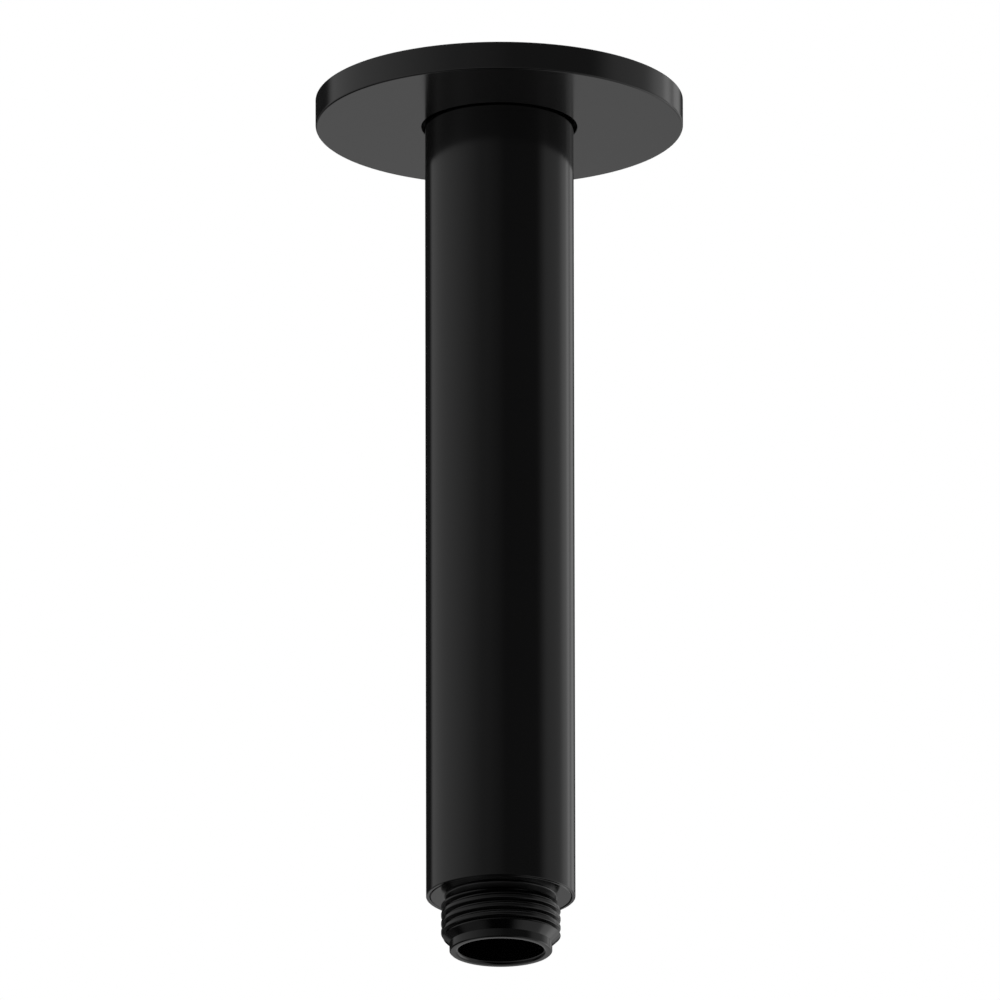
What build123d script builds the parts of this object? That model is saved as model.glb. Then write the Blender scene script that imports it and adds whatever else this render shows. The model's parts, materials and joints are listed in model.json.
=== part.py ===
from build123d import *
import os

# Ceiling shower arm, in millimetres.
# A straight drop tube carries a threaded socket in its upper end and a threaded outlet in its lower end.
# A loose round cover flange slides on the tube, and an O-ring in its bore holds it where it is put.
# The origin is the centre of the ceiling plane. +Z points up, and the arm hangs along -Z.

# Drop tube
tube_diameter = 26.0
tube_wall = 0.6
tube_length = 146.2
tube_end_break = 0.1

# Fit of the two turned inserts that are brazed into the tube ends
braze_gap = 0.05
insert_edge_break = 0.2
insert_lead_bevel = 0.6

# Threaded outlet, cut to the major diameter of a half inch pipe thread
outlet_thread_diameter = 20.8
outlet_projection = 10.0
outlet_seat_depth = 12.0
outlet_relief_depth = 0.75
outlet_relief_width = 1.2
outlet_relief_fillet = 0.3
outlet_relief_run = 0.5
outlet_lead_depth = 1.45
outlet_lead_length = 1.4
outlet_pilot_length = 1.5
outlet_pilot_break = 0.3
outlet_wall = 1.6
outlet_mouth_fillet = 0.65

# Threaded inlet socket, bored to the minor diameter of a half inch pipe thread
inlet_bore_diameter = 18.64
inlet_bore_depth = 12.0
inlet_countersink_depth = 0.5
inlet_countersink_share = 0.31
inlet_web = 3.0
inlet_ledge_width = 2.3

# Cover flange
flange_diameter = 64.3
flange_thickness = 5.0
flange_bore_gap = 0.6
flange_face_wall = 1.8
flange_rim_width = 2.2
flange_hub_wall = 2.4
flange_hub_setback = 0.3
flange_edge_radius = 0.35
flange_back_break = 0.1
flange_recess_fillet = 0.8
flange_bore_break = 0.1

# O-ring in the flange bore
o_ring_section = 2.0
o_ring_fit = 0.05
o_ring_side_gap = 0.2

# Radii and levels that follow from the sizes above
tube_radius = tube_diameter / 2
tube_bore_radius = tube_radius - tube_wall
insert_radius = tube_bore_radius - braze_gap

outlet_thread_radius = outlet_thread_diameter / 2
outlet_relief_radius = outlet_thread_radius - outlet_relief_depth
outlet_pilot_radius = outlet_thread_radius - outlet_lead_depth
outlet_bore_radius = outlet_pilot_radius - outlet_wall
outlet_shoulder_z = -tube_length
outlet_top_z = outlet_shoulder_z + outlet_seat_depth
outlet_relief_z = outlet_shoulder_z - outlet_relief_width
outlet_end_z = outlet_shoulder_z - outlet_projection
outlet_pilot_z = outlet_end_z + outlet_pilot_length
outlet_shoulder_width = abs(insert_radius - insert_edge_break - outlet_relief_radius)
# The relief's fillet takes at most half of the shoulder that it stands on
outlet_relief_round = min(outlet_relief_fillet, outlet_shoulder_width / 2)

inlet_bore_radius = inlet_bore_diameter / 2
inlet_waterway_radius = inlet_bore_radius - inlet_ledge_width
inlet_rim_width = insert_radius - insert_edge_break - inlet_bore_radius
inlet_mouth_radius = inlet_bore_radius + inlet_countersink_share * inlet_rim_width
inlet_ledge_z = -inlet_bore_depth
inlet_bottom_z = inlet_ledge_z - inlet_web

o_ring_radius = tube_radius + o_ring_fit + o_ring_section / 2
groove_radius = o_ring_radius + o_ring_section / 2 + o_ring_fit
groove_width = o_ring_section + 2 * o_ring_side_gap

flange_radius = flange_diameter / 2
flange_bore_radius = tube_radius + flange_bore_gap
flange_hub_radius = groove_radius + flange_hub_wall
flange_recess_radius = flange_radius - flange_rim_width
flange_face_z = -flange_thickness
flange_recess_depth = flange_thickness - flange_face_wall
groove_z = (flange_face_z - flange_hub_setback) / 2

os.makedirs("parts", exist_ok=True)

# Drop tube, cut square and broken at the edges
with BuildPart() as tube:
    with BuildSketch():
        Circle(tube_radius)
        Circle(tube_bore_radius, mode=Mode.SUBTRACT)
    extrude(amount=-tube_length)
    chamfer(tube.edges().filter_by(GeomType.CIRCLE), tube_end_break)

tube.part.label = "tube"
export_step(tube.part, "parts/tube.step")

# Outlet nipple, turned in one piece: plug, shoulder, relief, thread land, lead-in cone, pilot and waterway
with BuildPart() as outlet_nipple:
    with BuildSketch(Plane.XZ) as outlet_profile:
        with BuildLine():
            Polyline(
                (outlet_bore_radius, outlet_top_z),
                (insert_radius - insert_lead_bevel, outlet_top_z),
                (insert_radius, outlet_top_z - insert_lead_bevel),
                (insert_radius, outlet_shoulder_z + insert_edge_break),
                (insert_radius - insert_edge_break, outlet_shoulder_z),
                (outlet_relief_radius, outlet_shoulder_z),
                (outlet_relief_radius, outlet_relief_z),
                (outlet_thread_radius, outlet_relief_z - outlet_relief_run),
                (outlet_thread_radius, outlet_pilot_z + outlet_lead_length),
                (outlet_pilot_radius, outlet_pilot_z),
                (outlet_pilot_radius, outlet_end_z + outlet_pilot_break),
                (outlet_pilot_radius - outlet_pilot_break, outlet_end_z),
                (outlet_bore_radius, outlet_end_z),
                close=True,
            )
        make_face()
        relief_corner = (outlet_relief_radius, outlet_shoulder_z)
        mouth_corner = (outlet_bore_radius, outlet_end_z)
        fillet(outlet_profile.vertices().sort_by_distance(relief_corner)[0], outlet_relief_round)
        fillet(outlet_profile.vertices().sort_by_distance(mouth_corner)[0], outlet_mouth_fillet)
    revolve(axis=Axis.Z)

outlet_nipple.part.label = "outlet_nipple"
export_step(outlet_nipple.part, "parts/outlet_nipple.step")

# Inlet socket, turned in one piece: countersunk thread bore, ledge and waterway
with BuildPart() as inlet_socket:
    with BuildSketch(Plane.XZ):
        with BuildLine():
            Polyline(
                (inlet_mouth_radius, 0),
                (insert_radius - insert_edge_break, 0),
                (insert_radius, -insert_edge_break),
                (insert_radius, inlet_bottom_z + insert_lead_bevel),
                (insert_radius - insert_lead_bevel, inlet_bottom_z),
                (inlet_waterway_radius, inlet_bottom_z),
                (inlet_waterway_radius, inlet_ledge_z),
                (inlet_bore_radius, inlet_ledge_z),
                (inlet_bore_radius, -inlet_countersink_depth),
                close=True,
            )
        make_face()
    revolve(axis=Axis.Z)

inlet_socket.part.label = "inlet_socket"
export_step(inlet_socket.part, "parts/inlet_socket.step")

# Cover flange: a disc with a recessed back, a hub around the bore and an O-ring groove in the hub
with BuildPart() as flange:
    with BuildSketch(Plane.XY.offset(flange_face_z)):
        Circle(flange_radius)
        Circle(flange_bore_radius, mode=Mode.SUBTRACT)
    extrude(amount=flange_thickness)
    rings = flange.edges().filter_by(GeomType.CIRCLE).group_by(SortBy.RADIUS)
    bore_mouth = rings[0].sort_by(Axis.Z)[0]
    face_edge, back_edge = rings[-1].sort_by(Axis.Z)
    fillet(face_edge, flange_edge_radius)
    chamfer(back_edge, flange_back_break)
    chamfer(bore_mouth, flange_bore_break)

    with BuildSketch(Plane.XY):
        Circle(flange_recess_radius)
        Circle(flange_hub_radius, mode=Mode.SUBTRACT)
    extrude(amount=-flange_recess_depth, mode=Mode.SUBTRACT)
    recess_floor = flange.faces().filter_by(Axis.Z).sort_by(Axis.Z)[1]
    fillet(recess_floor.edges(), flange_recess_fillet)

    with BuildSketch(Plane.XY):
        Circle(flange_hub_radius)
        Circle(flange_bore_radius, mode=Mode.SUBTRACT)
    extrude(amount=-flange_hub_setback, mode=Mode.SUBTRACT)

    with BuildSketch(Plane.XZ):
        with Locations(((flange_bore_radius + groove_radius) / 2, groove_z)):
            Rectangle(groove_radius - flange_bore_radius, groove_width)
    revolve(axis=Axis.Z, mode=Mode.SUBTRACT)

flange.part.label = "flange"
export_step(flange.part, "parts/flange.step")

# O-ring, seated in the groove and round the tube
with BuildPart() as flange_o_ring:
    with BuildSketch(Plane.XZ):
        with Locations((o_ring_radius, groove_z)):
            Circle(o_ring_section / 2)
    revolve(axis=Axis.Z)

flange_o_ring.part.label = "flange_o_ring"
export_step(flange_o_ring.part, "parts/flange_o_ring.step")
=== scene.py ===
"""Ceiling shower arm, dressed for its picture.

The arm hangs along -Z from the ceiling plane at z = 0. Every length is in metres, and MM turns a
size in millimetres into metres. Outlines are drawn as (radius, height) points and turned about Z.
"""

import json
import logging
import math
from dataclasses import dataclass
from enum import Enum
from typing import Any

import bpy
from mathutils import Matrix, Vector


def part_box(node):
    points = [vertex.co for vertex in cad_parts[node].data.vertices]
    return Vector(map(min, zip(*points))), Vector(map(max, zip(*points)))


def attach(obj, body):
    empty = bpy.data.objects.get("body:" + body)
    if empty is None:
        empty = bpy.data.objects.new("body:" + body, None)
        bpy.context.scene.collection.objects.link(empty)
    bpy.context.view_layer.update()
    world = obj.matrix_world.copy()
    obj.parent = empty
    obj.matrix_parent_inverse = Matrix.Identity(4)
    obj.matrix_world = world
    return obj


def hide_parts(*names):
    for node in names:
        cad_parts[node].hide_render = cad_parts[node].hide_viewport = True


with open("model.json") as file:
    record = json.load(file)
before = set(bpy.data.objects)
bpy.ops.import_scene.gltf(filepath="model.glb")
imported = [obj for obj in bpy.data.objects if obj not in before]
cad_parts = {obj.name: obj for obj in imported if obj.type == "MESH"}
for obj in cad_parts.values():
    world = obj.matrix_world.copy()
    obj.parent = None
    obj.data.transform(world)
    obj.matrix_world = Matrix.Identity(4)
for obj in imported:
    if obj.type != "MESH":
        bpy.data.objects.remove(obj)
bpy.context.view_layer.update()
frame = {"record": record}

LOG = logging.getLogger("shower_arm")

MM = 0.001
WELD = 0.001 * MM

Point = tuple[float, float]
Outline = list[Point]
Colour = tuple[float, float, float, float]

WHITE: Colour = (1.0, 1.0, 1.0, 1.0)


class Body(Enum):
    """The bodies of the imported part."""

    ARM = "arm"
    COVER = "cover"


class Slot(Enum):
    """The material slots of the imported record."""

    COAT = "black_coat"
    TURNED_COAT = "black_coat_turned"
    RUBBER = "seal_rubber"


class ThreadSide(Enum):
    """The way a thread's groove goes from its crests: in towards the axis, or out from it."""

    MALE = -1
    FEMALE = 1


def arc(centre: Point, radius: float, start: float, end: float, steps: int = 6) -> Outline:
    """Lay points along a round stretch of an outline.

    Args:
        centre: Centre of the arc.
        radius: Radius of the arc.
        start: Angle of the first point in degrees. 0 points away from the axis, and 90 points up.
        end: Angle of the last point in degrees.
        steps: Number of straight steps that make up the arc.

    Returns:
        The points from start to end, both included.
    """
    points = []
    for step in range(steps + 1):
        angle = math.radians(start + (end - start) * step / steps)
        points.append((centre[0] + radius * math.cos(angle), centre[1] + radius * math.sin(angle)))
    return points


def mount(name: str) -> dict[str, Any]:
    """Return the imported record's mount of that name."""
    return next(entry for entry in frame["record"]["mounts"] if entry["name"] == name)


class Workbench:
    """The tools that shape a piece. Each leaves the piece active, selected and in object mode."""

    edge_angle = math.radians(25)
    edge_segments = 3
    smooth_angle = math.radians(38)

    def pick(self, piece: bpy.types.Object) -> None:
        """Select a piece alone and make it the active one.

        Args:
            piece: The piece to work on next.
        """
        bpy.ops.object.select_all(action="DESELECT")
        piece.select_set(True)
        bpy.context.view_layer.objects.active = piece

    def draw(self, name: str, outline: Outline) -> bpy.types.Object:
        """Draw a closed outline in the upright plane through the axis, one edge after another.

        Args:
            name: Name of the new piece.
            outline: Points of the outline, in order.

        Returns:
            The new piece, which is only the outline so far.
        """
        bpy.ops.object.select_all(action="DESELECT")
        bpy.ops.mesh.primitive_plane_add(size=MM, location=(0, 0, 0))
        piece = bpy.context.active_object
        piece.name = name
        piece.data.name = name
        bpy.ops.object.mode_set(mode="EDIT")
        bpy.ops.mesh.select_all(action="SELECT")
        # The plane shrinks to one point, and the outline is pulled out of it
        bpy.ops.mesh.merge(type="CENTER")
        bpy.ops.transform.translate(value=(outline[0][0], 0, outline[0][1]))
        for start, end in zip(outline, outline[1:] + outline[:1]):
            step = (end[0] - start[0], 0, end[1] - start[1])
            bpy.ops.mesh.extrude_region_move(TRANSFORM_OT_translate={"value": step})
        self.weld()
        bpy.ops.object.mode_set(mode="OBJECT")
        return piece

    def weld(self) -> None:
        """Merge the doubled points of the piece in edit mode and turn its faces outwards."""
        bpy.ops.mesh.select_all(action="SELECT")
        bpy.ops.mesh.remove_doubles(threshold=WELD)
        bpy.ops.mesh.normals_make_consistent(inside=False)

    def turn(self, name: str, outline: Outline, steps: int) -> bpy.types.Object:
        """Turn an outline about the axis, as on a lathe.

        Args:
            name: Name of the new piece.
            outline: Points of the outline, in order.
            steps: Number of steps in the full turn.

        Returns:
            The turned piece.
        """
        piece = self.draw(name, outline)
        bpy.ops.object.mode_set(mode="EDIT")
        bpy.ops.mesh.select_all(action="SELECT")
        bpy.ops.mesh.spin(steps=steps, angle=math.tau, center=(0, 0, 0), axis=(0, 0, 1))
        self.weld()
        bpy.ops.object.mode_set(mode="OBJECT")
        return piece

    def wind(
        self, name: str, outline: Outline, pitch: float, turns: float, steps: int
    ) -> bpy.types.Object:
        """Wind an outline up a right-hand helix about the axis and close its two ends.

        Args:
            name: Name of the new piece.
            outline: Points of the outline at the foot of the helix, in order.
            pitch: Rise of one turn.
            turns: Number of turns, also a part of one.
            steps: Number of steps in one turn.

        Returns:
            The wound piece.
        """
        piece = self.draw(name, outline)
        helix = piece.modifiers.new("helix", "SCREW")
        helix.axis = "Z"
        helix.angle = math.tau * turns
        helix.screw_offset = pitch * turns
        helix.steps = round(steps * turns)
        helix.render_steps = helix.steps
        self.apply(piece, helix)
        bpy.ops.object.mode_set(mode="EDIT")
        bpy.ops.mesh.select_all(action="SELECT")
        bpy.ops.mesh.remove_doubles(threshold=WELD)
        bpy.ops.mesh.fill_holes(sides=0)
        self.weld()
        bpy.ops.object.mode_set(mode="OBJECT")
        return piece

    def apply(self, piece: bpy.types.Object, modifier: bpy.types.Modifier) -> None:
        """Apply a modifier to the piece that carries it."""
        self.pick(piece)
        bpy.ops.object.modifier_apply(modifier=modifier.name)

    def cut(self, piece: bpy.types.Object, cutter: bpy.types.Object) -> None:
        """Cut one piece out of another and put the cutter away.

        Args:
            piece: The piece that is cut.
            cutter: The piece that is taken out of it and then removed.
        """
        cutting = piece.modifiers.new("cut", "BOOLEAN")
        cutting.operation = "DIFFERENCE"
        cutting.solver = "EXACT"
        cutting.object = cutter
        self.apply(piece, cutting)
        bpy.data.objects.remove(cutter)

    def break_edges(self, piece: bpy.types.Object, width: float) -> None:
        """Round the sharp edges of a piece a little, so that they catch the light.

        Args:
            piece: The piece to work on.
            width: Width of the rounded edge.
        """
        rounding = piece.modifiers.new("edges", "BEVEL")
        rounding.limit_method = "ANGLE"
        rounding.angle_limit = self.edge_angle
        rounding.width = width
        rounding.segments = self.edge_segments
        self.apply(piece, rounding)

    def smooth(self, piece: bpy.types.Object) -> None:
        """Shade a piece smooth, with its large faces true and its sharp corners sharp.

        Args:
            piece: The piece to work on.
        """
        self.pick(piece)
        bpy.ops.object.shade_smooth_by_angle(angle=self.smooth_angle)
        normals = piece.modifiers.new("normals", "WEIGHTED_NORMAL")
        normals.keep_sharp = True
        self.apply(piece, normals)


class Wire:
    """A shader value. Sums and products of it add the Math nodes that work them out."""

    def __init__(self, graph: "Graph", socket: bpy.types.NodeSocket) -> None:
        """Wrap an output socket of a graph."""
        self.graph = graph
        self.socket = socket

    def out(self, name: str) -> "Wire":
        """Return another output of the same node."""
        return Wire(self.graph, self.socket.node.outputs[name])

    def math(self, operation: str, *values: "Value") -> "Wire":
        """Add a Math node of that operation on this value and any others."""
        inputs = dict(enumerate((self, *values)))
        return self.graph.node("ShaderNodeMath", {"operation": operation}, inputs)

    def __add__(self, other: "Value") -> "Wire":
        """Add a value."""
        return self.math("ADD", other)

    __radd__ = __add__

    def __mul__(self, other: "Value") -> "Wire":
        """Multiply by a value."""
        return self.math("MULTIPLY", other)

    __rmul__ = __mul__

    def __sub__(self, other: "Value") -> "Wire":
        """Subtract a value."""
        return self.math("SUBTRACT", other)

    def __rsub__(self, other: "Value") -> "Wire":
        """Subtract this from a value."""
        return self * -1 + other


Value = Wire | float


class Graph:
    """The nodes of one material or world."""

    noise_layers = 2.0

    def __init__(self, owner: bpy.types.Material | bpy.types.World) -> None:
        """Start an empty node tree.

        Args:
            owner: The material or world that the nodes belong to.
        """
        owner.use_nodes = True
        self.tree = owner.node_tree
        self.tree.nodes.clear()

    def node(
        self,
        kind: str,
        settings: dict[str, Any] | None = None,
        inputs: dict[str | int, Any] | None = None,
        output: str | int = 0,
    ) -> Wire:
        """Add a node.

        Args:
            kind: Type of the node.
            settings: Properties of the node, which are set first.
            inputs: Values or wires for its input sockets, by name or number.
            output: The output that is handed back.

        Returns:
            The chosen output, or an empty wire where the node has none.
        """
        made = self.tree.nodes.new(kind)
        for name, value in (settings or {}).items():
            setattr(made, name, value)
        for name, value in (inputs or {}).items():
            if isinstance(value, Wire):
                self.tree.links.new(value.socket, made.inputs[name])
            else:
                made.inputs[name].default_value = value
        return Wire(self, made.outputs[output] if made.outputs else None)

    def place(self) -> Wire:
        """Return the place of the shaded point in the piece's own frame."""
        return self.node("ShaderNodeTexCoord", output="Object")

    def noise(self, size: float) -> Wire:
        """Return soft noise from 0 to 1, in patches of that size with finer layers on top."""
        inputs = {"Vector": self.place(), "Scale": 1 / size, "Detail": self.noise_layers}
        return self.node("ShaderNodeTexNoise", None, inputs)

    def blend(self, factor: Wire, first: Colour, second: Colour) -> Wire:
        """Return a blend of two colours: the first at a factor of 0, the second at 1."""
        # Sockets 6 and 7 take the colours, and output 2 is the blended one
        inputs = {0: factor, 6: first, 7: second}
        return self.node("ShaderNodeMix", {"data_type": "RGBA"}, inputs, 2)

    def fade(self, value: Wire, start: float, end: float) -> Wire:
        """Return 1 for a value up to start, 0 from end on, and a smooth fade between them."""
        inputs = {"Value": value, "From Min": start, "From Max": end, "To Min": 1.0, "To Max": 0.0}
        return self.node("ShaderNodeMapRange", {"interpolation_type": "SMOOTHSTEP"}, inputs)


@dataclass(frozen=True)
class BlackCoat:
    """Satin black coat, sprayed and stoved: faint orange peel, and a gloss that drifts a little."""

    name: str = "satin_black_coat"
    slot: Slot = Slot.COAT
    deep: Colour = (0.0007, 0.0007, 0.0008, 1.0)
    pale: Colour = (0.0013, 0.0013, 0.0014, 1.0)
    roughness: float = 0.14
    specular: float = 0.5
    gloss_drift: float = 0.03
    drift_size: float = 22 * MM
    drift_middle: float = 0.5
    peel_size: float = 1.6 * MM
    relief_height: float = 0.0006 * MM

    def relief(self, graph: Graph) -> Wire:
        """Return the fine relief of the surface, from 0 to about 1."""
        return graph.noise(self.peel_size)

    def material(self) -> bpy.types.Material:
        """Make the finish's material at the first call, and find it again later.

        Returns:
            The material.
        """
        if self.name in bpy.data.materials:
            return bpy.data.materials[self.name]
        material = bpy.data.materials.new(self.name)
        graph = Graph(material)
        drift = graph.noise(self.drift_size)
        bump = {"Height": self.relief(graph), "Distance": self.relief_height, "Strength": 1.0}
        surface = {
            "Base Color": graph.blend(drift, self.deep, self.pale),
            "Roughness": self.roughness + self.gloss_drift * (drift - self.drift_middle),
            "Specular IOR Level": self.specular,
            "Normal": graph.node("ShaderNodeBump", None, bump),
        }
        shader = graph.node("ShaderNodeBsdfPrincipled", None, surface)
        graph.node("ShaderNodeOutputMaterial", None, {"Surface": shader})
        return material

    def dress(self, piece: bpy.types.Object) -> None:
        """Give a piece this finish.

        Args:
            piece: The piece to dress.
        """
        piece.data.materials.clear()
        piece.data.materials.append(self.material())


@dataclass(frozen=True)
class CoverCoatPaintedLighter(BlackCoat):
    """The same coat on the cover, made a shade lighter than on the tube: painted light on the
    cover's face.
    """

    name: str = "satin_black_coat_on_cover_painted_lighter"
    # Painted light: these colours are lighter than the tube's coat, so that the cover's face shows
    # brighter
    deep: Colour = (0.0036, 0.0036, 0.0037, 1.0)
    pale: Colour = (0.0044, 0.0044, 0.0045, 1.0)


@dataclass(frozen=True)
class TurnedCoat(BlackCoat):
    """The same coat, thin over turned metal, so that the fine lathe marks still show through it."""

    name: str = "satin_black_coat_on_turned_metal"
    slot: Slot = Slot.TURNED_COAT
    specular: float = 0.45
    mark_pitch: float = 0.11 * MM
    mark_share: float = 0.2
    relief_height: float = 0.0004 * MM

    def relief(self, graph: Graph) -> Wire:
        """Mix the lathe marks, a fine wave up the axis, with the orange peel.

        Args:
            graph: The graph of the finish's material.

        Returns:
            The height of the relief.
        """
        height = graph.node("ShaderNodeSeparateXYZ", None, {"Vector": graph.place()}).out("Z")
        marks = (height * (math.tau / self.mark_pitch)).math("SINE")
        return self.mark_share * marks + graph.noise(self.peel_size)


@dataclass(frozen=True)
class SealRubber(BlackCoat):
    """Matt black moulded rubber, a little mottled."""

    name: str = "moulded_black_rubber"
    slot: Slot = Slot.RUBBER
    deep: Colour = (0.008, 0.008, 0.008, 1.0)
    pale: Colour = (0.014, 0.014, 0.014, 1.0)
    roughness: float = 0.62
    gloss_drift: float = 0.1
    drift_size: float = 3 * MM
    peel_size: float = 0.3 * MM
    relief_height: float = 0.004 * MM


@dataclass
class PipeThread:
    """A right-hand pipe thread with rounded crests, cut by winding its groove round the axis."""

    side: ThreadSide
    crest_radius: float
    foot: float
    head: float
    pitch: float
    depth: float = 0.74 * MM
    root_width: float = 0.16 * MM
    flank_angle: float = math.radians(26)
    crest_round: float = 0.3 * MM
    crest_edge: float = math.radians(8)
    round_steps: int = 5
    overcut: float = 0.01 * MM
    steps: int = 192

    def groove(self) -> Outline:
        """Draw the groove's section: root, flanks, and the round way over to the crests.

        The upper half is worked out as (height over the crests, way from the groove's middle), and
        the lower half mirrors it.

        Returns:
            The outline of the section at the foot of the thread.
        """
        start = math.pi / 2 - self.flank_angle
        flank_height = self.depth - self.crest_round * (1 - math.cos(start))
        round_end = self.root_width / 2 + flank_height * math.tan(self.flank_angle)
        round_end += self.crest_round * math.sin(start)
        half = [(-self.depth, self.root_width / 2)]
        for step in range(self.round_steps + 1):
            lean = start + (self.crest_edge - start) * step / self.round_steps
            drop = self.crest_round * (1 - math.cos(lean))
            half.append((-drop, round_end - self.crest_round * math.sin(lean)))
        height, half_width = half[-1]
        edge_run = (self.overcut - height) / math.tan(self.crest_edge)
        half.append((self.overcut, half_width + edge_run))
        groove_way = self.side.value
        lower = [(self.crest_radius - groove_way * up, self.foot - wide) for up, wide in half]
        upper = [(self.crest_radius - groove_way * up, self.foot + wide) for up, wide in half]
        return lower + upper[::-1]

    def cut(self, bench: Workbench, piece: bpy.types.Object) -> None:
        """Cut the thread into a turned piece, from its foot at +X up to its head.

        Args:
            bench: The tools to cut with.
            piece: The piece that is cut.
        """
        turns = (self.head - self.foot) / self.pitch
        cutter = bench.wind("thread_cutter", self.groove(), self.pitch, turns, self.steps)
        bench.cut(piece, cutter)


@dataclass
class Assembly:
    """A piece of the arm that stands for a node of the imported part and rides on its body."""

    bench: Workbench
    finish: BlackCoat
    piece_name: str
    node: str
    body: Body
    steps: int = 192
    edge_width: float = 0.02 * MM

    def outline(self) -> Outline:
        """Return the outline that is turned."""
        raise NotImplementedError

    def detail(self, piece: bpy.types.Object) -> None:
        """Cut what turning can't give. A plain turned piece has nothing to cut."""

    def build(self) -> bpy.types.Object:
        """Turn the piece, break its edges, cut its detail, smooth it and dress it.

        Returns:
            The finished piece.
        """
        piece = self.bench.turn(self.piece_name, self.outline(), self.steps)
        self.bench.break_edges(piece, self.edge_width)
        self.detail(piece)
        self.bench.smooth(piece)
        self.dress(piece)
        return piece

    def dress(self, piece: bpy.types.Object) -> None:
        """Give the piece its finish and put it in its node's place, on its body.

        Args:
            piece: The piece that was built.
        """
        self.finish.dress(piece)
        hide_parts(self.node)
        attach(piece, self.body.value)


@dataclass
class DropTube(Assembly):
    """Thin-walled tube, cut square at both ends."""

    piece_name: str = "drop_tube"
    node: str = "tube"
    body: Body = Body.ARM
    wall: float = 0.6 * MM
    end_break: float = 0.1 * MM

    def outline(self) -> Outline:
        """Draw the section of the wall, with its broken end edges.

        Returns:
            The outline, from the inner edge at the lower end round to the inner edge at the top.
        """
        low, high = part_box(self.node)
        outer, inner = high.x, high.x - self.wall
        outline = []
        for end, side in ((low.z, 1), (high.z, -1)):
            corner = [
                (inner, end + side * self.end_break),
                (inner + self.end_break, end),
                (outer - self.end_break, end),
                (outer, end + side * self.end_break),
            ]
            outline += corner[::side]
        return outline


@dataclass
class OutletNipple(Assembly):
    """Turned outlet: plug, shoulder, relief, thread, lead-in cone, pilot and waterway."""

    piece_name: str = "threaded_outlet"
    node: str = "outlet_nipple"
    body: Body = Body.ARM
    plug_bevel: float = 0.6 * MM
    plug_edge: float = 0.2 * MM
    relief_depth: float = 0.75 * MM
    relief_run: float = 0.5 * MM
    relief_fillet: float = 0.3 * MM
    lead_depth: float = 1.45 * MM
    lead_length: float = 1.4 * MM
    pilot_edge: float = 0.2 * MM
    wall: float = 1.6 * MM
    mouth_fillet: float = 0.65 * MM
    thread_pitch: float = 1.56 * MM
    thread_setback: float = 0.85 * MM
    front_crest: float = 4.5 * MM
    front_turn: float = 0.75
    turns_below: int = 2

    def outline(self) -> Outline:
        """Draw the blank, with a plain land where the thread comes.

        Returns:
            The outline, from the plug's top round to the mouth of the waterway.
        """
        low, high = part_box(self.node)
        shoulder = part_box("tube")[0].z
        thread = mount("outlet_thread")
        crest = thread["dims"]["r_mm"] * MM
        land_low = thread["pos_m"][2]
        land_high = land_low + thread["dims"]["length_mm"] * MM
        neck = crest - self.relief_depth
        pilot = crest - self.lead_depth
        bore = pilot - self.wall
        relief_centre = (neck + self.relief_fillet, shoulder - self.relief_fillet)
        mouth_centre = (bore + self.mouth_fillet, low.z + self.mouth_fillet)
        return [
            (bore, high.z),
            (high.x - self.plug_bevel, high.z),
            (high.x, high.z - self.plug_bevel),
            (high.x, shoulder + self.plug_edge),
            (high.x - self.plug_edge, shoulder),
            *arc(relief_centre, self.relief_fillet, 90, 180),
            (neck, land_high + self.relief_run),
            (crest, land_high),
            (crest, land_low),
            (pilot, land_low - self.lead_length),
            (pilot, low.z + self.pilot_edge),
            (pilot - self.pilot_edge, low.z),
            *arc(mouth_centre, self.mouth_fillet, 270, 180),
        ]

    def detail(self, piece: bpy.types.Object) -> None:
        """Cut the thread, from below the lead-in cone up into the relief.

        It starts at +X, some turns below the crest that shows in front, and a groove lies half a
        pitch from its crest.

        Args:
            piece: The turned blank.
        """
        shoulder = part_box("tube")[0].z
        crest = mount("outlet_thread")["dims"]["r_mm"] * MM
        turns_down = self.turns_below + self.front_turn + 1 / 2
        foot = shoulder - self.front_crest - turns_down * self.thread_pitch
        head = shoulder - self.thread_setback
        thread = PipeThread(ThreadSide.MALE, crest, foot, head, self.thread_pitch)
        thread.cut(self.bench, piece)


@dataclass
class InletSocket(Assembly):
    """Turned inlet: a countersunk thread bore down to a ledge, and the waterway below it."""

    piece_name: str = "threaded_inlet"
    node: str = "inlet_socket"
    body: Body = Body.ARM
    edge: float = 0.2 * MM
    plug_bevel: float = 0.6 * MM
    countersink_share: float = 0.31
    bore_depth: float = 12.0 * MM
    ledge_width: float = 2.3 * MM
    thread_pitch: float = 1.56 * MM
    thread_runout: float = 1.5 * MM

    def outline(self) -> Outline:
        """Draw the blank, with a plain bore where the thread comes.

        Returns:
            The outline, from the top face round to the foot of the countersink.
        """
        low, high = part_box(self.node)
        thread = mount("inlet_thread")["dims"]
        bore = thread["r_mm"] * MM
        ledge = high.z - self.bore_depth
        rim = high.x - self.edge
        return [
            (bore + self.countersink_share * (rim - bore), high.z),
            (rim, high.z),
            (high.x, high.z - self.edge),
            (high.x, low.z + self.plug_bevel),
            (high.x - self.plug_bevel, low.z),
            (bore - self.ledge_width, low.z),
            (bore - self.ledge_width, ledge),
            (bore, ledge),
            (bore, ledge + thread["length_mm"] * MM),
        ]

    def detail(self, piece: bpy.types.Object) -> None:
        """Cut the thread, from its runout above the ledge up past the countersink.

        Args:
            piece: The turned blank.
        """
        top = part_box(self.node)[1].z
        bore = mount("inlet_thread")["dims"]["r_mm"] * MM
        foot = top - self.bore_depth + self.thread_runout
        head = top + self.thread_pitch
        thread = PipeThread(ThreadSide.FEMALE, bore, foot, head, self.thread_pitch)
        thread.cut(self.bench, piece)


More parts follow.
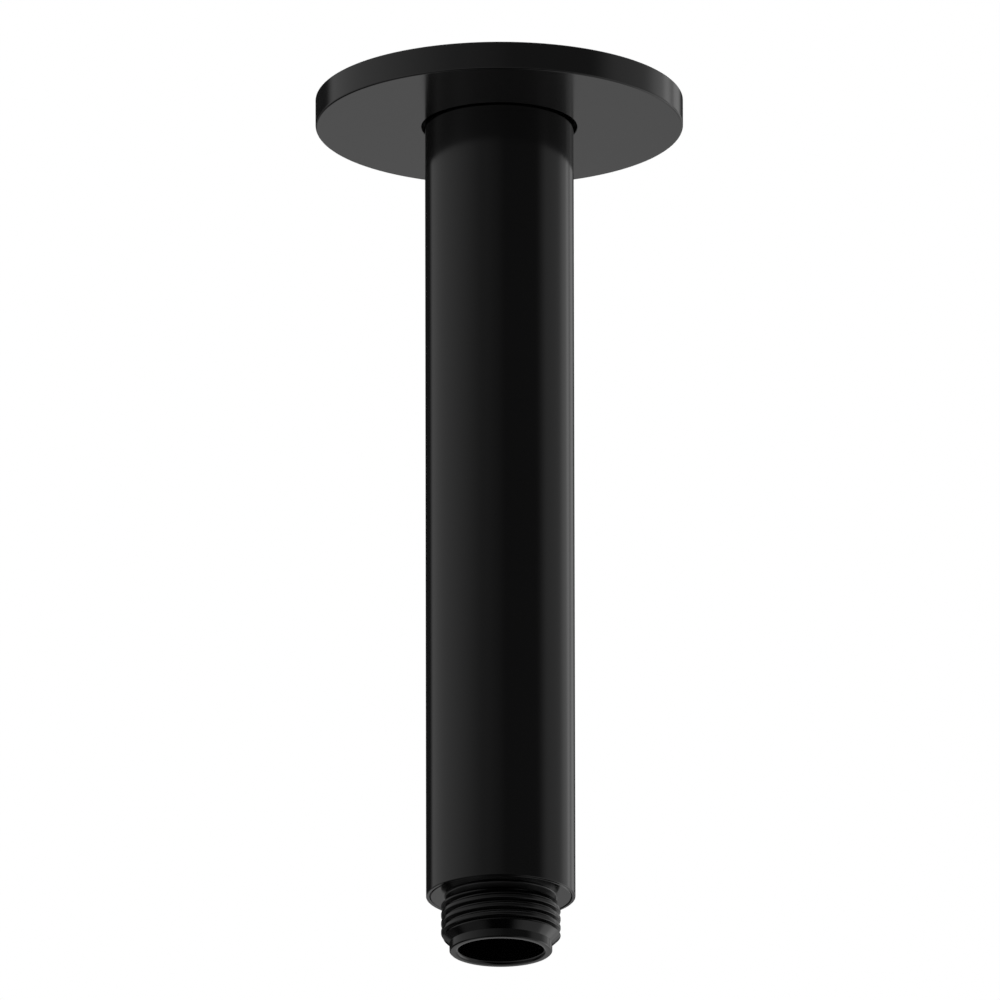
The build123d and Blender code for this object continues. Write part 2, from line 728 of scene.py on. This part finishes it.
@dataclass
class CoverFlange(Assembly):
    """Round cover: a disc with a recessed back, and a hub with a seal groove round its bore."""

    piece_name: str = "cover_flange"
    node: str = "flange"
    body: Body = Body.COVER
    steps: int = 256
    bore_gap: float = 0.6 * MM
    bore_edge: float = 0.1 * MM
    face_wall: float = 1.8 * MM
    rim_width: float = 2.2 * MM
    hub_wall: float = 2.4 * MM
    hub_setback: float = 0.3 * MM
    edge_radius: float = 0.35 * MM
    back_edge: float = 0.1 * MM
    recess_fillet: float = 0.8 * MM
    seal_side_gap: float = 0.2 * MM
    seal_fit: float = 0.05 * MM

    def outline(self) -> Outline:
        """Draw the section of the cover.

        Returns:
            The outline, from the bore's mouth round the rim, the recess and the hub to the groove.
        """
        low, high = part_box(self.node)
        seal_low, seal_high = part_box("flange_o_ring")
        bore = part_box("tube")[1].x + self.bore_gap
        groove = seal_high.x + self.seal_fit
        groove_low = seal_low.z - self.seal_side_gap
        groove_high = seal_high.z + self.seal_side_gap
        hub = groove + self.hub_wall
        hub_top = high.z - self.hub_setback
        recess = high.x - self.rim_width
        floor = low.z + self.face_wall
        edge_centre = (high.x - self.edge_radius, low.z + self.edge_radius)
        fillet = self.recess_fillet
        return [
            (bore, low.z + self.bore_edge),
            (bore + self.bore_edge, low.z),
            *arc(edge_centre, self.edge_radius, -90, 0),
            (high.x, high.z - self.back_edge),
            (high.x - self.back_edge, high.z),
            (recess, high.z),
            *arc((recess - fillet, floor + fillet), fillet, 0, -90),
            *arc((hub + fillet, floor + fillet), fillet, -90, -180),
            (hub, hub_top),
            (bore, hub_top),
            (bore, groove_high),
            (groove, groove_high),
            (groove, groove_low),
            (bore, groove_low),
        ]


@dataclass
class SealRing(Assembly):
    """O-ring in the cover's groove, round the tube."""

    piece_name: str = "seal_ring"
    node: str = "flange_o_ring"
    body: Body = Body.COVER
    section_steps: int = 28

    def outline(self) -> Outline:
        """Draw the round section of the ring.

        Returns:
            The outline, once round from the outside.
        """
        low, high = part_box(self.node)
        radius = (high.z - low.z) / 2
        centre = (high.x - radius, low.z + radius)
        return arc(centre, radius, 0, 360, self.section_steps)[:-1]


@dataclass(frozen=True)
class Span:
    """A stretch of angles in degrees: half of it to each side of the centre, then a soft fade."""

    centre: float
    half: float
    fade: float

    def cover(self, graph: Graph, angle: Wire) -> Wire:
        """Return 1 where an angle in radians lies in the stretch, and 0 past its fade."""
        away = (angle - math.radians(self.centre)).math("COSINE").math("ARCCOSINE")
        return graph.fade(away, math.radians(self.half), math.radians(self.half + self.fade))


ALL_ROUND = Span(0, 180, 0.1)


@dataclass(frozen=True)
class SoftPanel:
    """A soft window in the light tent, or a dark card in front of it, as seen from the arm.

    Azimuth 0 is towards the camera, 90 to its right and 180 behind the arm. Elevation 90 is
    straight up. A card's strength is the share of the light that it takes away.
    """

    strength: float
    azimuth: Span
    elevation: Span

    def glow(self, graph: Graph, azimuth: Wire, elevation: Wire) -> Wire:
        """Return the panel's strength in a direction, which is nothing past its edges."""
        across = self.azimuth.cover(graph, azimuth)
        return self.strength * across * self.elevation.cover(graph, elevation)


@dataclass
class Studio:
    """White room with a pale floor, an overhead lamp and a light tent that only the gloss shows."""

    floor_level: float = -2.6
    floor_size: float = 14.0
    floor_colour: Colour = (0.8, 0.8, 0.8, 1.0)
    room_fill: float = 0.75
    lamp_height: float = 2.4
    lamp_size: float = 2.0
    lamp_power: float = 18.0
    tent_radius: float = 2.4
    tent_level: float = -0.08
    panels: tuple[SoftPanel, ...] = (
        # Left wall, a faint light in front, and a low window for the lead-in cone
        SoftPanel(0.46, Span(-97, 8, 95), Span(0, 18, 30)),
        SoftPanel(0.05, Span(-10, 6, 14), Span(15, 30, 15)),
        SoftPanel(0.20, Span(-90, 10, 45), Span(-60, 10, 14)),
        # Right wall with two brighter strips, and low windows for the cone and the mouth
        SoftPanel(0.33, Span(106, 26, 22), Span(0, 18, 25)),
        SoftPanel(0.28, Span(124, 6, 16), Span(14, 10, 16)),
        SoftPanel(0.28, Span(130.5, 1.5, 5), Span(14, 10, 16)),
        SoftPanel(0.50, Span(100, 16, 45), Span(-48, 24, 10)),
        SoftPanel(0.60, Span(130, 12, 10), Span(-32, 8, 7)),
        SoftPanel(0.35, Span(141, 10, 5), Span(-20, 9, 6)),
        # Back wall: high for the right edges, low for the faces that look down
        SoftPanel(0.45, Span(164, 20, 4), Span(25, 22, 4)),
        SoftPanel(0.31, Span(167, 21, 6), Span(-22, 20, 6)),
        # Low in front for the thread's crests, and low behind for its flanks
        SoftPanel(0.30, Span(0, 60, 30), Span(-17, 6, 10)),
        SoftPanel(0.35, Span(180, 40, 20), Span(-66, 14, 8)),
        # Roof, for the hidden sides
        SoftPanel(0.22, ALL_ROUND, Span(56, 12, 10)),
        SoftPanel(0.09, ALL_ROUND, Span(25, 30, 20)),
        SoftPanel(0.60, ALL_ROUND, Span(90, 30, 20)),
    )
    cards: tuple[SoftPanel, ...] = (
        # The dark left edges of the tube and the rim
        SoftPanel(0.93, Span(-168, 29, 12), Span(25, 22, 8)),
        # The dark left side of the tube under the cover, and of the outlet
        SoftPanel(0.45, Span(-148, 8, 16), Span(-20, 22, 8)),
        SoftPanel(0.75, Span(-142, 14, 18), Span(-18, 3, 3)),
        # The dark left end of the lead-in cone
        SoftPanel(0.75, Span(-128, 12, 8), Span(-33, 8, 6)),
    )

    def build(self) -> None:
        """Set up the room, the floor, the lamp and the tent."""
        self.light_room()
        self.lay_floor()
        self.hang_lamp()
        self.raise_tent()
        LOG.info("studio: floor, lamp and a tent of %d soft panels", len(self.panels))

    def light_room(self) -> None:
        """Make the room white where it is seen, also in gloss and glass, and else a plain fill."""
        world = bpy.data.worlds.new("white_room")
        bpy.context.scene.world = world
        graph = Graph(world)
        camera = graph.node("ShaderNodeLightPath", output="Is Camera Ray")
        gloss = camera.out("Is Glossy Ray")
        glass = camera.out("Is Transmission Ray")
        seen = camera.math("MAXIMUM", gloss).math("MAXIMUM", glass)
        level = seen + (1 - seen) * self.room_fill
        glow = graph.node("ShaderNodeBackground", None, {"Color": WHITE, "Strength": level})
        graph.node("ShaderNodeOutputWorld", None, {"Surface": glow})

    def lay_floor(self) -> None:
        """Lay the pale floor. From below it is clear, so that the arm shows from there too."""
        bpy.ops.object.select_all(action="DESELECT")
        bpy.ops.mesh.primitive_plane_add(size=self.floor_size, location=(0, 0, self.floor_level))
        floor = bpy.context.active_object
        floor.name = "floor"
        material = bpy.data.materials.new("pale_floor")
        graph = Graph(material)
        below = graph.node("ShaderNodeNewGeometry", output="Backfacing")
        paint = graph.node("ShaderNodeBsdfDiffuse", None, {"Color": self.floor_colour})
        clear = graph.node("ShaderNodeBsdfTransparent")
        surface = graph.node("ShaderNodeMixShader", None, {0: below, 1: paint, 2: clear})
        graph.node("ShaderNodeOutputMaterial", None, {"Surface": surface})
        floor.data.materials.append(material)

    def hang_lamp(self) -> None:
        """Hang one large soft lamp over the arm. The gloss shows the tent instead of it."""
        bpy.ops.object.select_all(action="DESELECT")
        bpy.ops.object.light_add(type="AREA", location=(0, 0, self.lamp_height))
        lamp = bpy.context.active_object
        lamp.name = "overhead_lamp"
        lamp.data.shape = "SQUARE"
        lamp.data.size = self.lamp_size
        lamp.data.energy = self.lamp_power
        lamp.visible_camera = False
        lamp.visible_glossy = False

    def raise_tent(self) -> None:
        """Raise the dark tent with its soft panels round the arm, for the gloss to show."""
        bpy.ops.object.select_all(action="DESELECT")
        centre = (0, 0, self.tent_level)
        bpy.ops.mesh.primitive_uv_sphere_add(radius=self.tent_radius, location=centre)
        tent = bpy.context.active_object
        tent.name = "light_tent"
        material = bpy.data.materials.new("soft_panels")
        material.cycles.emission_sampling = "NONE"
        graph = Graph(material)
        way = graph.node("ShaderNodeVectorMath", {"operation": "NORMALIZE"}, {0: graph.place()})
        along = graph.node("ShaderNodeSeparateXYZ", None, {"Vector": way})
        azimuth = along.out("X").math("ARCTAN2", along.out("Y") * -1)
        elevation = along.out("Z").math("ARCSINE")
        light = sum(panel.glow(graph, azimuth, elevation) for panel in self.panels)
        for card in self.cards:
            light = light * (1 - card.glow(graph, azimuth, elevation))
        glow = graph.node("ShaderNodeEmission", None, {"Color": light, "Strength": 1.0})
        graph.node("ShaderNodeOutputMaterial", None, {"Surface": glow})
        tent.data.materials.append(material)
        tent.visible_camera = False
        tent.visible_diffuse = False
        tent.visible_shadow = False
        tent.visible_transmission = False


@dataclass
class PhotoCamera:
    """Long lens below the arm, looking up at it as the photograph does."""

    aim_level: float = -73.58 * MM
    distance: float = 7.5014
    look_up: float = math.radians(17.998)
    roll: float = math.radians(-0.113)
    lens: float = 1547.9
    sensor: float = 36.0
    reach: float = 40.0

    def build(self) -> None:
        """Make the camera and give it to the scene."""
        bpy.ops.object.select_all(action="DESELECT")
        bpy.ops.object.camera_add()
        camera = bpy.context.active_object
        camera.name = "photo_camera"
        camera.data.lens = self.lens
        camera.data.sensor_width = self.sensor
        camera.data.clip_end = self.reach
        tilt = Matrix.Rotation(math.pi / 2 + self.look_up, 4, "X")
        turn = tilt @ Matrix.Rotation(self.roll, 4, "Z")
        back = turn.to_3x3() @ Vector((0, 0, 1))
        place = Vector((0, 0, self.aim_level)) + back * self.distance
        camera.matrix_world = Matrix.Translation(place) @ turn
        bpy.context.scene.camera = camera
        LOG.info("camera: %.0f mm lens, %.2f m away", self.lens, self.distance)


def main() -> None:
    """Build the arm, its studio and its camera, and report each piece."""
    logging.basicConfig(level=logging.INFO, format="%(name)s: %(message)s")
    bpy.context.scene.view_settings.view_transform = "Standard"
    bench = Workbench()
    turned = TurnedCoat()
    assemblies = (
        DropTube(bench, finish=BlackCoat()),
        OutletNipple(bench, finish=turned),
        InletSocket(bench, finish=turned),
        CoverFlange(bench, finish=CoverCoatPaintedLighter()),
        SealRing(bench, finish=SealRubber()),
    )
    for assembly in assemblies:
        piece = assembly.build()
        faces = len(piece.data.polygons)
        LOG.info("%s: %d faces, stands for %s", piece.name, faces, assembly.node)
    Studio().build()
    PhotoCamera().build()


if __name__ == "__main__":
    main()
